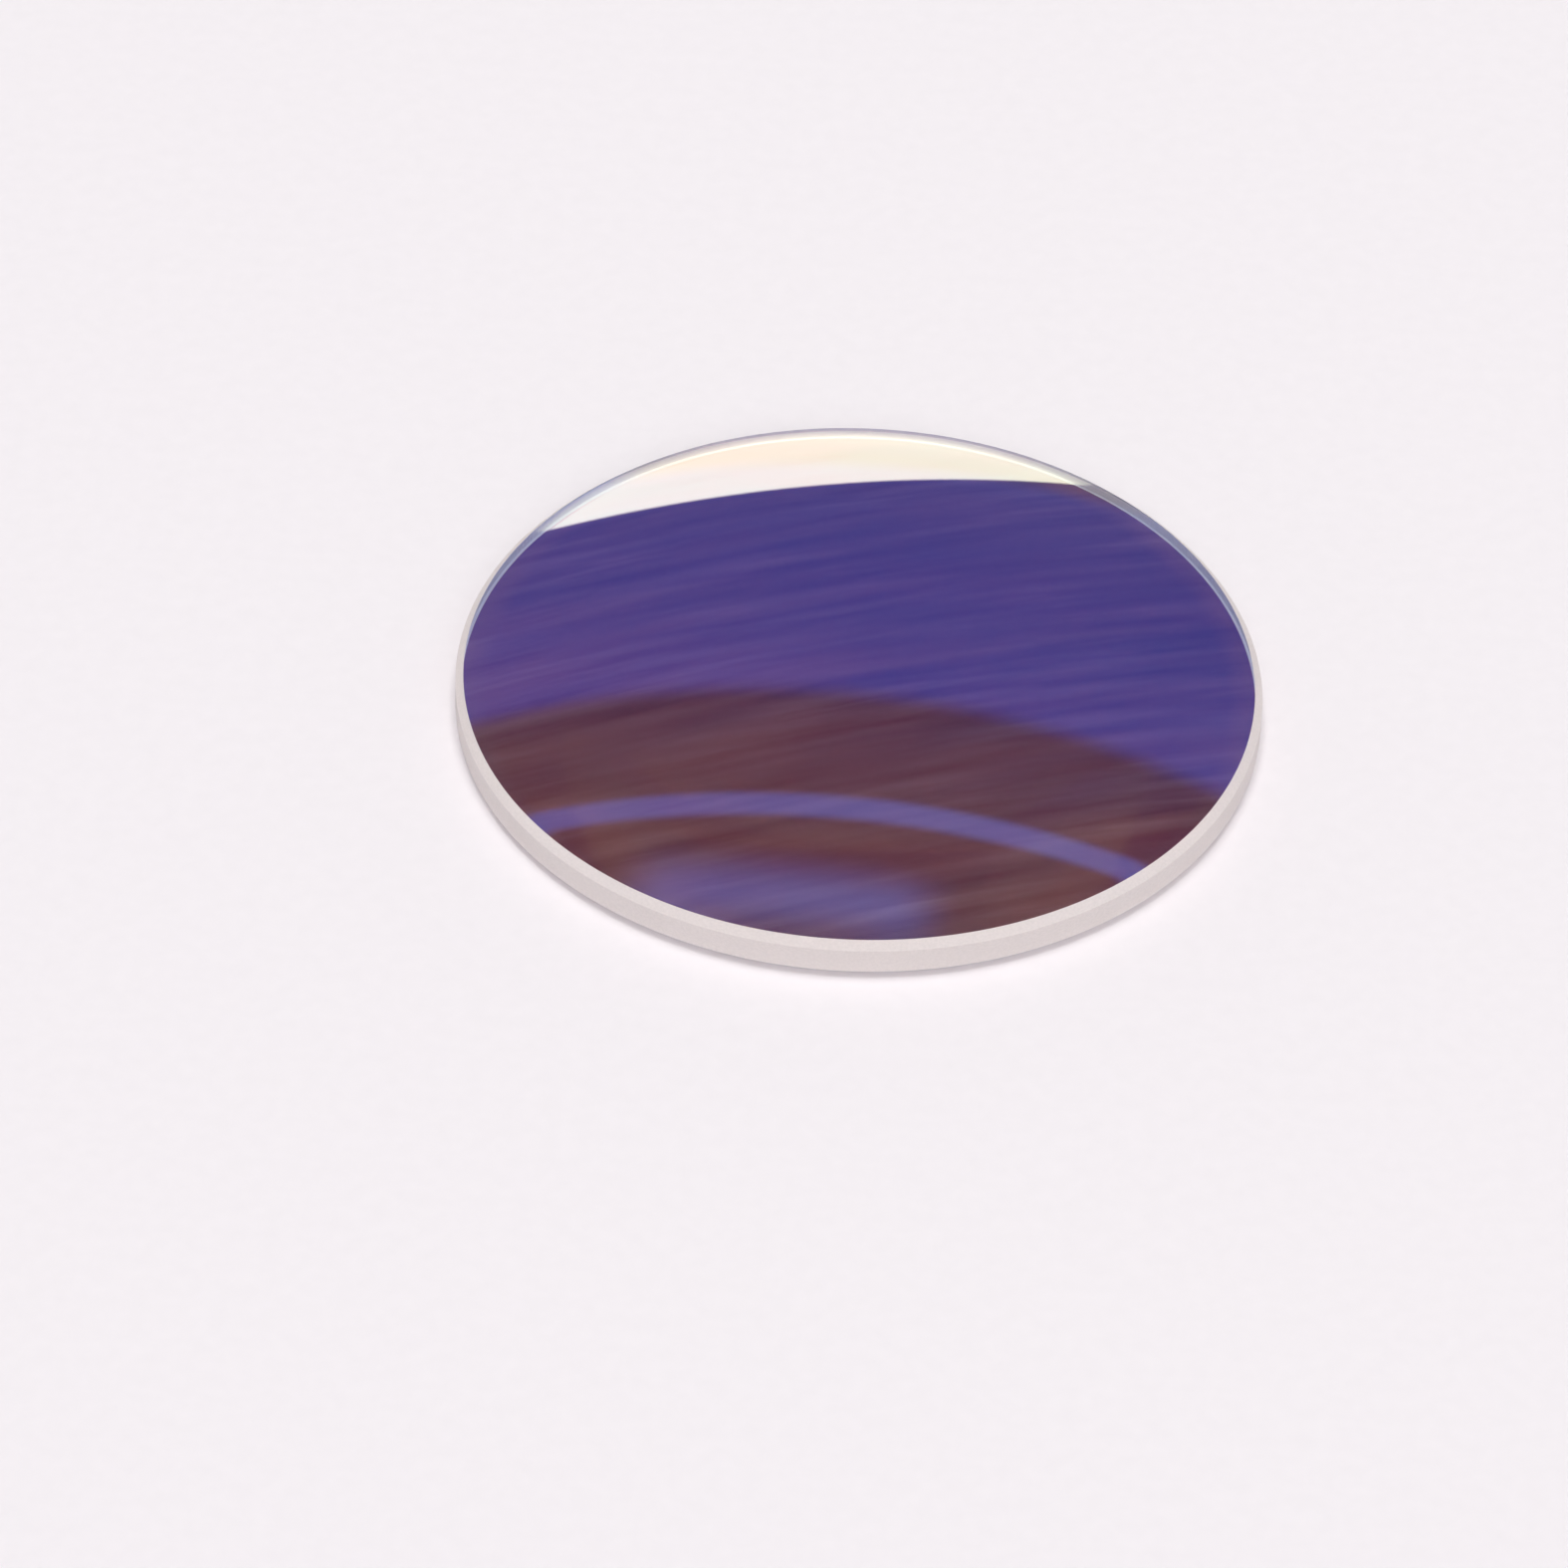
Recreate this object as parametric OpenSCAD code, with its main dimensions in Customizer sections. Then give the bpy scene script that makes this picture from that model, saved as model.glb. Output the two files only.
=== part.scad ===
// Plano-convex lens: one round piece of optical glass with a polished flat face, a polished
// spherical face, a fine-ground edge, and a narrow 45 degree bevel at each rim.
// The flat face lies on the XY plane. The optical axis is Z, and the convex face looks up along it.

/* [Edge] */
// Diameter over the ground edge
lens_diameter = 25.4; // [10:0.1:50]
// Thickness at the edge, from the flat face to where the convex face would reach the edge unbevelled
edge_thickness = 1.25; // [0.9:0.05:12]

/* [Convex face] */
// Radius of curvature of the spherical face: 51.68 in crown glass gives a focal length of 100
convex_radius = 51.68; // [36:0.01:200]

/* [Bevels] */
// Width of the bevel round the convex face, measured along the lens's radius
convex_bevel = 0.25; // [0.05:0.01:0.4]
// Width of the bevel round the flat face, measured along the lens's radius
flat_bevel = 0.25; // [0.05:0.01:0.4]

/* [Hidden] */

// Sides of the turned shape, and steps along the curve from the axis to the edge
turned_sides = 180;
curve_steps = 20;

edge_radius = lens_diameter / 2;
// Height of the sphere over its own centre, at a given distance from the axis
function sphere_height(distance) = sqrt(convex_radius * convex_radius - distance * distance);
sphere_centre_height = edge_thickness - sphere_height(edge_radius);
centre_thickness = sphere_centre_height + convex_radius;
cap_half_angle = asin(edge_radius / convex_radius);
sphere_sides = 4 * ceil(curve_steps * 90 / cap_half_angle);

// The convex face ends where its bevel begins, and the bevel falls from there to the edge
convex_rim_radius = edge_radius - convex_bevel;
convex_rim_height = sphere_centre_height + sphere_height(convex_rim_radius);
// The bevel's line is drawn on past the rim, to above the top of the sphere
bevel_run_on = centre_thickness - convex_rim_height + convex_bevel;

// Half section of the blank before its convex face is ground: flat face, edge and both bevels
module blank_section() {
    polygon([
        [0, 0],
        [edge_radius - flat_bevel, 0],
        [edge_radius, flat_bevel],
        [edge_radius, convex_rim_height - convex_bevel],
        [convex_rim_radius - bevel_run_on, convex_rim_height + bevel_run_on],
        [0, convex_rim_height + bevel_run_on],
    ]);
}

// Section of the sphere that the convex face is ground and polished to
module sphere_section() {
    translate([0, sphere_centre_height])
        circle(r = convex_radius, $fn = sphere_sides);
}

// The finished lens, turned about the optical axis
module lens() {
    color([0.36, 0.33, 0.72, 0.45])
        rotate_extrude($fn = turned_sides)
            intersection() {
                blank_section();
                sphere_section();
            }
}

lens();
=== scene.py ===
import math

import bmesh
import bpy
from mathutils import Matrix, Vector


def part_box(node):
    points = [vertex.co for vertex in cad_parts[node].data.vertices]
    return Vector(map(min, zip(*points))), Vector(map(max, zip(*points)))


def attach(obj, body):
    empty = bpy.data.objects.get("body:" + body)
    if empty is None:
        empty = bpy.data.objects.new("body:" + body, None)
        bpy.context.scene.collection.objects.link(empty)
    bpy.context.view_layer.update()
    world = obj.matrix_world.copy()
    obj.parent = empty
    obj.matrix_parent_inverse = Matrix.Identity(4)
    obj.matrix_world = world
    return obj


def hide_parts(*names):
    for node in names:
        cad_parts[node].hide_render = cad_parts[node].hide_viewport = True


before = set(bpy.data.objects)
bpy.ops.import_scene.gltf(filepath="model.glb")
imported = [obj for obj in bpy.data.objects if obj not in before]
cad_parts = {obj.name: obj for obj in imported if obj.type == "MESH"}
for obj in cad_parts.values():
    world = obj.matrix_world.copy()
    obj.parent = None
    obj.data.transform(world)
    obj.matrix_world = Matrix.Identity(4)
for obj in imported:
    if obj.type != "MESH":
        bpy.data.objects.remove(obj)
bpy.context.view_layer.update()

# ---------------------------------------------------------------------------------------------
# The lens. One round blank of crown glass: a flat face and a spherical face, both ground, polished
# and coated, an edge turned true on the optical axis with a fine diamond wheel, and a narrow
# 45 degree bevel ground at each rim so that the glass doesn't chip in its cell.

MM = 0.001
lens_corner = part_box("lens")[1]
edge_radius = lens_corner.x
centre_thickness = lens_corner.z
convex_radius = 51.68 * MM
bevel = 0.25 * MM
clear_margin = 0.1 * MM

sphere_centre = centre_thickness - convex_radius
rim_radius = edge_radius - bevel
tinted_radius = rim_radius - clear_margin
rim_angle = math.asin(rim_radius / convex_radius)
rim_height = sphere_centre + convex_radius * math.cos(rim_angle)

turning_steps = 288
dome_steps = 36
merge_distance = 1e-4 * MM
crisp_angle = math.radians(25)


def draw_on(section, radius, height):
    """Extrudes the section's free end to a new point."""
    section.verts.ensure_lookup_table()
    end = section.verts[-1]
    new = bmesh.ops.extrude_vert_indiv(section, verts=[end])["verts"][0]
    new.co = (0, radius, height)


section = bmesh.new()
pole = section.verts.new((0, 0, centre_thickness))
bmesh.ops.spin(
    section, geom=[pole], cent=(0, 0, sphere_centre), axis=(-1, 0, 0),
    angle=rim_angle, steps=dome_steps,
)
draw_on(section, edge_radius, rim_height - bevel)
draw_on(section, edge_radius, bevel)
draw_on(section, rim_radius, 0)
draw_on(section, tinted_radius, 0)
draw_on(section, 0, 0)

bmesh.ops.spin(
    section, geom=section.verts[:] + section.edges[:], cent=(0, 0, 0), axis=(0, 0, 1),
    angle=2 * math.pi, steps=turning_steps, use_merge=True,
)
bmesh.ops.remove_doubles(section, verts=section.verts[:], dist=merge_distance)
bmesh.ops.recalc_face_normals(section, faces=section.faces[:])

DOME, TINTED_FLAT, FLAT_MARGIN, GROUND_EDGE = range(4)
for face in section.faces:
    face.smooth = True
    centre = face.calc_center_median()
    from_axis = math.hypot(centre.x, centre.y)
    if from_axis > rim_radius and centre.z > 0:
        face.material_index = GROUND_EDGE
    elif centre.z > bevel:
        face.material_index = DOME
    elif from_axis > tinted_radius:
        face.material_index = FLAT_MARGIN
    else:
        face.material_index = TINTED_FLAT
for seam in section.edges:
    seam.smooth = seam.calc_face_angle(0) < crisp_angle

mesh = bpy.data.meshes.new("plano_convex_lens")
section.to_mesh(mesh)
section.free()
lens = bpy.data.objects.new("plano_convex_lens", mesh)
bpy.context.scene.collection.objects.link(lens)

crown_glass_index = 1.5168

# Where a Mix node keeps its sockets for colours
MIX_SHARE, MIX_FIRST, MIX_SECOND, MIX_RESULT = 0, 6, 7, 2

# Most of a noise pattern lies between these two
NOISE_LOW, NOISE_HIGH = 0.3, 0.7


def new_material(name):
    """A material with its node tree and its Principled shader."""
    material = bpy.data.materials.new(name)
    material.use_nodes = True
    tree = material.node_tree
    return material, tree, tree.nodes["Principled BSDF"]


def polished_glass(name, film_index):
    """Crown glass with an optical polish, under a thin film of the given index."""
    material, tree, shader = new_material(name)
    shader.inputs["Roughness"].default_value = 0.0
    shader.inputs["IOR"].default_value = crown_glass_index
    shader.inputs["Transmission Weight"].default_value = 1.0
    shader.inputs["Thin Film IOR"].default_value = film_index
    return material, tree, shader


def object_point(tree, unit, turn=0):
    """Object coordinates, turned about the axis by some degrees and measured in the given units."""
    place = tree.nodes.new("ShaderNodeTexCoord")
    mapping = tree.nodes.new("ShaderNodeMapping")
    mapping.vector_type = "TEXTURE"
    mapping.inputs["Rotation"].default_value = (0, 0, math.radians(turn))
    mapping.inputs["Scale"].default_value = unit
    tree.links.new(place.outputs["Object"], mapping.inputs["Vector"])
    return mapping.outputs["Vector"]


def noise(tree, lump, turn=0, detail=3):
    """A cloudy pattern from 0 to 1 whose lumps have the given sizes."""
    clouds = tree.nodes.new("ShaderNodeTexNoise")
    clouds.inputs["Scale"].default_value = 1
    clouds.inputs["Detail"].default_value = detail
    tree.links.new(object_point(tree, lump, turn), clouds.inputs["Vector"])
    return clouds.outputs["Fac"]


def between(tree, value, low, high, start=NOISE_LOW, end=NOISE_HIGH, smooth=False):
    """Goes from low to high as the value goes from start to end, and stays there beyond them."""
    spread = tree.nodes.new("ShaderNodeMapRange")
    spread.interpolation_type = "SMOOTHSTEP" if smooth else "LINEAR"
    spread.inputs["From Min"].default_value = start
    spread.inputs["From Max"].default_value = end
    spread.inputs["To Min"].default_value = low
    spread.inputs["To Max"].default_value = high
    tree.links.new(value, spread.inputs["Value"])
    return spread.outputs["Result"]


def shaded(tree, colour, shade):
    """A colour made lighter or darker by a pattern."""
    scaled = tree.nodes.new("ShaderNodeVectorMath")
    scaled.operation = "SCALE"
    scaled.inputs[0].default_value = colour
    tree.links.new(shade, scaled.inputs["Scale"])
    return scaled.outputs["Vector"]


def mixed(tree, share, first, second):
    """Goes from the first colour to the second as the share goes from 0 to 1."""
    mix = tree.nodes.new("ShaderNodeMix")
    mix.data_type = "RGBA"
    tree.links.new(share, mix.inputs[MIX_SHARE])
    for socket, colour in ((mix.inputs[MIX_FIRST], first), (mix.inputs[MIX_SECOND], second)):
        if isinstance(colour, tuple):
            socket.default_value = (*colour, 1)
        else:
            tree.links.new(colour, socket)
    return mix.outputs[MIX_RESULT]


def part_of(tree, vector, axis):
    """One of a vector's three parts."""
    parts = tree.nodes.new("ShaderNodeSeparateXYZ")
    tree.links.new(vector, parts.inputs[0])
    return parts.outputs[axis]


def times_plus(tree, first, second, third=0):
    """The first value times the second, plus the third."""
    total = tree.nodes.new("ShaderNodeMath")
    total.operation = "MULTIPLY_ADD"
    for socket, value in zip(total.inputs, (first, second, third)):
        if isinstance(value, (int, float)):
            socket.default_value = value
        else:
            tree.links.new(value, socket)
    return total.outputs[0]


def radius_share(tree):
    """How far a point is from the axis, as a share of the edge's radius."""
    across = tree.nodes.new("ShaderNodeVectorMath")
    across.operation = "LENGTH"
    tree.links.new(object_point(tree, (edge_radius, edge_radius, 1)), across.inputs[0])
    return across.outputs["Value"]


# The dome's coating: a dense film that mirrors violet. Its thickness, in nanometres, drifts a little.
dome_film_index = 2.6
dome_film_thinnest = 114.3
dome_film_thickest = 115.7
dome_coating, tree, shader = polished_glass("dome_coating", dome_film_index)
shader.inputs["Base Color"].default_value = (0.98, 0.97, 0.96, 1)
drift = noise(tree, lump=(9 * MM, 4 * MM, 4 * MM), turn=9)
drifting = between(tree, drift, dome_film_thinnest, dome_film_thickest)
tree.links.new(drifting, shader.inputs["Thin Film Thickness"])

# The flat face's coating: a film that mirrors hardly anything, over a deep tint that stands for a
# dark ground under the lens. The tint is maroon and plum in long streaks that all run one way, more
# violet towards the back, more red-brown towards the front and paler at the rim.
flat_film_index = 1.23
flat_film_thickness = 135
maroon = (0.27, 0.078, 0.098)
plum = (0.185, 0.062, 0.124)
violet = (0.155, 0.06, 0.125)
red_brown = (0.30, 0.08, 0.045)
rim_rose = (0.28, 0.10, 0.11)
streak_turn = 18
back_turn = -12

flat_coating, tree, shader = polished_glass("flat_coating", flat_film_index)
shader.inputs["Thin Film Thickness"].default_value = flat_film_thickness
wide_streaks = noise(tree, lump=(15 * MM, 1.7 * MM, 1), turn=streak_turn)
tint = mixed(tree, between(tree, wide_streaks, low=0, high=1), maroon, plum)
back_mm = part_of(tree, object_point(tree, (MM, MM, MM), turn=back_turn), "Y")
at_the_back = between(tree, back_mm, low=0, high=0.5, start=-2, end=3)
tint = mixed(tree, at_the_back, tint, violet)
at_the_front = between(tree, back_mm, low=0.7, high=0, start=-8, end=-1)
tint = mixed(tree, at_the_front, tint, red_brown)
at_the_rim = between(tree, radius_share(tree), low=0, high=1, start=0.90, end=0.972)
tint = mixed(tree, at_the_rim, tint, rim_rose)

# The tint grows deeper towards the back, and finer streaks, which come and go in patches, make it
# deeper here and thinner there
fine_streaks = noise(tree, lump=(9 * MM, 0.7 * MM, 1), turn=streak_turn, detail=5)
streak_depth = between(tree, fine_streaks, low=-0.21, high=0.21)
patches = noise(tree, lump=(6 * MM, 3 * MM, 1), turn=streak_turn, detail=1)
streak_strength = between(tree, patches, low=0.4, high=1.35)
even_depth = between(tree, back_mm, low=0.91, high=1.12, start=-5, end=5)
deepened = tree.nodes.new("ShaderNodeGamma")
tree.links.new(tint, deepened.inputs["Color"])
tree.links.new(times_plus(tree, streak_depth, streak_strength, even_depth), deepened.inputs["Gamma"])
tree.links.new(deepened.outputs["Color"], shader.inputs["Base Color"])

# The narrow margin of the flat face: the same film, clear of the tint
flat_margin, tree, shader = polished_glass("flat_margin", flat_film_index)
shader.inputs["Base Color"].default_value = (0.99, 0.985, 0.975, 1)
shader.inputs["Thin Film Thickness"].default_value = flat_film_thickness

# The edge and its bevels: off-white ground glass, with the fine pits that the wheel leaves
frost_white = (0.98, 0.90, 0.87)
pit_depth = 0.02 * MM
ground_glass, tree, shader = new_material("ground_glass")
grain = noise(tree, lump=(0.09 * MM, 0.09 * MM, 0.07 * MM), detail=2)
frost = shaded(tree, frost_white, between(tree, grain, low=0.93, high=1.0))
tree.links.new(frost, shader.inputs["Base Color"])
tree.links.new(between(tree, grain, low=0.52, high=0.7), shader.inputs["Roughness"])
shader.inputs["IOR"].default_value = crown_glass_index
shader.inputs["Transmission Weight"].default_value = 0.3
pits = tree.nodes.new("ShaderNodeBump")
pits.inputs["Strength"].default_value = 0.35
pits.inputs["Distance"].default_value = pit_depth
tree.links.new(grain, pits.inputs["Height"])
tree.links.new(pits.outputs["Normal"], shader.inputs["Normal"])

for material in (dome_coating, flat_coating, flat_margin, ground_glass):
    mesh.materials.append(material)

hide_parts("lens")
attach(lens, "root")

# ---------------------------------------------------------------------------------------------
# The floor that the lens lies on: one large plain sheet of pale matt paper. It lies a hair below
# the flat face, so that the two surfaces don't fall together.

floor_size = 1.6
floor_gap = 0.02 * MM
paper_white = (0.912, 0.877, 0.897)

floor_mesh = bpy.data.meshes.new("floor")
sheet = bmesh.new()
bmesh.ops.create_grid(sheet, x_segments=1, y_segments=1, size=floor_size / 2)
bmesh.ops.translate(sheet, vec=(0, 0, -floor_gap), verts=sheet.verts[:])
sheet.to_mesh(floor_mesh)
sheet.free()
floor = bpy.data.objects.new("floor", floor_mesh)
bpy.context.scene.collection.objects.link(floor)

pale_paper, tree, shader = new_material("pale_paper")
fibres = noise(tree, lump=(0.6 * MM, 0.6 * MM, 1), detail=4)
pulp = shaded(tree, paper_white, between(tree, fibres, low=0.982, high=1.0))
tree.links.new(pulp, shader.inputs["Base Color"])
shader.inputs["Roughness"].default_value = 0.9
shader.inputs["Specular IOR Level"].default_value = 0.1
floor_mesh.materials.append(pale_paper)

# ---------------------------------------------------------------------------------------------
# The studio lamps. The dome mirrors four glowing cards that hang behind and above the lens: a wide
# blue softbox, a thin strip, a dim card, and a low yellow card cut to the shape of the gleam inside
# the back rim. Two large soft lamps, which nothing mirrors, light the floor and the ground edge.


def soften_sides(light, edge):
    """Fades a lamp's card out towards its four sides, over the width of its soft edge."""
    light.use_nodes = True
    tree = light.node_tree
    place = tree.nodes.new("ShaderNodeTexCoord")
    fades = []
    for axis, size in (("X", light.size), ("Y", light.size_y)):
        from_side = tree.nodes.new("ShaderNodeMath")
        from_side.operation = "PINGPONG"
        from_side.inputs[1].default_value = 0.5
        tree.links.new(part_of(tree, place.outputs["UV"], axis), from_side.inputs[0])
        fades.append(between(tree, from_side.outputs[0], 0, 1, start=0, end=edge / size, smooth=True))
    tree.links.new(times_plus(tree, *fades), tree.nodes["Emission"].inputs["Strength"])


def lamp(name, azimuth, elevation, distance, width, height, glow, edge=0, colour=(1, 1, 1), tilt=0):
    """A lamp on a sphere round the lens, as bright as a white card in full light when glow is 1."""
    light = bpy.data.lights.new(name, "AREA")
    light.shape = "RECTANGLE"
    light.size = width
    light.size_y = height
    light.energy = math.pi * width * height * glow
    light.color = colour
    if edge:
        soften_sides(light, edge)
    around = math.radians(azimuth)
    raised = math.radians(elevation)
    outwards = Vector((
        math.sin(around) * math.cos(raised),
        math.cos(around) * math.cos(raised),
        math.sin(raised),
    ))
    turned = outwards.to_track_quat("Z", "Y").to_matrix() @ Matrix.Rotation(math.radians(tilt), 3, "Z")
    hung = bpy.data.objects.new(name, light)
    hung.location = outwards * distance
    hung.rotation_euler = turned.to_euler()
    hung.visible_camera = False
    bpy.context.scene.collection.objects.link(hung)
    return hung


back_softbox = lamp(
    "back_softbox", azimuth=9, elevation=31.8, distance=0.9, width=1.9, height=0.53,
    glow=0.53, edge=0.05, colour=(0.1, 0.5, 1),
)
back_softbox.visible_diffuse = False
lamp(
    "strip", azimuth=6, elevation=58.5, distance=0.9, width=1.3, height=0.052,
    glow=0.64, edge=0.018,
)
lamp(
    "dim_card", azimuth=-11, elevation=66.3, distance=0.9, width=0.37, height=0.15,
    glow=0.57, edge=0.075, tilt=-18,
)
top_softbox = lamp(
    "top_softbox", azimuth=0, elevation=90, distance=2.2, width=1.2, height=1.2,
    glow=8.0, edge=0.2,
)
top_softbox.visible_glossy = False
front_fill = lamp(
    "front_fill", azimuth=170, elevation=35, distance=2.4, width=2.0, height=1.2,
    glow=2.4, edge=0.2,
)
front_fill.visible_glossy = False

# The low card's lower side is bowed, and its upper side is bowed and slopes. Their heights are in
# metres from the card's middle. The card is yellow, which the dome's violet film turns to cream.
foot = -0.113
foot_bow = 2.95
foot_soft = 0.02
glow_below_foot = 0.08
top = 0.023
top_slope = 0.34
top_bow = -0.74
top_soft = 0.006
green_yellow = (0.92, 1.035, 0.29)
warm_yellow = (1.03, 1.025, 0.275)

low_card = lamp(
    "low_card", azimuth=0, elevation=18, distance=0.9, width=0.5, height=0.24, glow=6.6,
)
low_card.visible_transmission = False
low_card.visible_diffuse = False
card = low_card.data
card.use_nodes = True
tree = card.node_tree
place = tree.nodes.new("ShaderNodeTexCoord")
measure = tree.nodes.new("ShaderNodeMapping")
measure.inputs["Location"].default_value = (-card.size / 2, -card.size_y / 2, 0)
measure.inputs["Scale"].default_value = (card.size, card.size_y, 1)
tree.links.new(place.outputs["UV"], measure.inputs["Vector"])
across = part_of(tree, measure.outputs["Vector"], "X")
up = part_of(tree, measure.outputs["Vector"], "Y")
across_squared = times_plus(tree, across, across)
over_foot = times_plus(tree, across_squared, -foot_bow, up)
over_slope = times_plus(tree, across, -top_slope, up)
over_top = times_plus(tree, across_squared, -top_bow, over_slope)
in_from_foot = between(tree, over_foot, glow_below_foot, 1, start=foot, end=foot + foot_soft)
in_from_top = between(tree, over_top, 1, 0, start=top - top_soft, end=top)
rising = between(tree, up, low=0.88, high=1.12, start=-0.07, end=0.05)
strength = times_plus(tree, times_plus(tree, rising, in_from_foot), in_from_top)
to_the_left = between(tree, across, 0, 1, start=-0.12, end=0.2)
emission = tree.nodes["Emission"]
tree.links.new(strength, emission.inputs["Strength"])
tree.links.new(mixed(tree, to_the_left, green_yellow, warm_yellow), emission.inputs["Color"])

# The room round the lamps: pale walls, a grey ceiling and a dark flag hung high towards the back
wall_glow = (0.90, 0.86, 0.88)
ceiling_glow = (0.45, 0.44, 0.45)
flag_glow = (0.10, 0.095, 0.10)
flag_direction = (0.10, 0.66, 0.745)

world = bpy.data.worlds.new("studio")
bpy.context.scene.world = world
world.use_nodes = True
tree = world.node_tree
direction = tree.nodes.new("ShaderNodeTexCoord").outputs["Generated"]
towards_flag = tree.nodes.new("ShaderNodeVectorMath")
towards_flag.operation = "DOT_PRODUCT"
towards_flag.inputs[1].default_value = flag_direction
tree.links.new(direction, towards_flag.inputs[0])
on_flag = between(tree, towards_flag.outputs["Value"], 0, 1, start=0.76, end=0.87, smooth=True)
above_walls = between(tree, part_of(tree, direction, "Z"), 0, 1, start=0.16, end=0.34, smooth=True)
overhead = mixed(tree, on_flag, ceiling_glow, flag_glow)
room = mixed(tree, above_walls, wall_glow, overhead)
tree.links.new(room, tree.nodes["Background"].inputs["Color"])

# ---------------------------------------------------------------------------------------------
# The camera: it stands in front, looks down by about 40 degrees through a long focal length, and
# leans a little. Its distance and aim put the rim at a given size and place in the square frame.

frame_pixels = 1575
rim_centre_pixel = (862.4, 676.8)
rim_radius_pixels = 405.5
camera_elevation = math.radians(40.15)
camera_roll = math.radians(1.87)
focal_length = 180
sensor = 36
distance = focal_length / sensor * frame_pixels * edge_radius / rim_radius_pixels

camera_data = bpy.data.cameras.new("camera")
camera_data.lens = focal_length
camera_data.sensor_width = sensor
camera_data.clip_start = 0.01
camera_data.clip_end = 5
camera = bpy.data.objects.new("camera", camera_data)
bpy.context.scene.collection.objects.link(camera)
bpy.context.scene.camera = camera

rim_centre = Vector((0, 0, rim_height))
to_camera = Vector((0, -math.cos(camera_elevation), math.sin(camera_elevation)))
look = (-to_camera).to_track_quat("-Z", "Y").to_matrix() @ Matrix.Rotation(camera_roll, 3, "Z")
metres_per_pixel = edge_radius / rim_radius_pixels
aside = (rim_centre_pixel[0] - frame_pixels / 2) * metres_per_pixel
above = (frame_pixels / 2 - rim_centre_pixel[1]) * metres_per_pixel
camera.location = rim_centre + to_camera * distance
aim = rim_centre - look @ Vector((aside, above, 0))
straight = (aim - camera.location).to_track_quat("-Z", "Y").to_matrix()
camera.rotation_euler = (straight @ Matrix.Rotation(camera_roll, 3, "Z")).to_euler()

# Light is thrown back many times between the two coated faces and inside the edge
bpy.context.scene.cycles.max_bounces = 24
bpy.context.scene.cycles.glossy_bounces = 16
bpy.context.scene.cycles.transmission_bounces = 24
bpy.context.scene.view_settings.view_transform = "Standard"
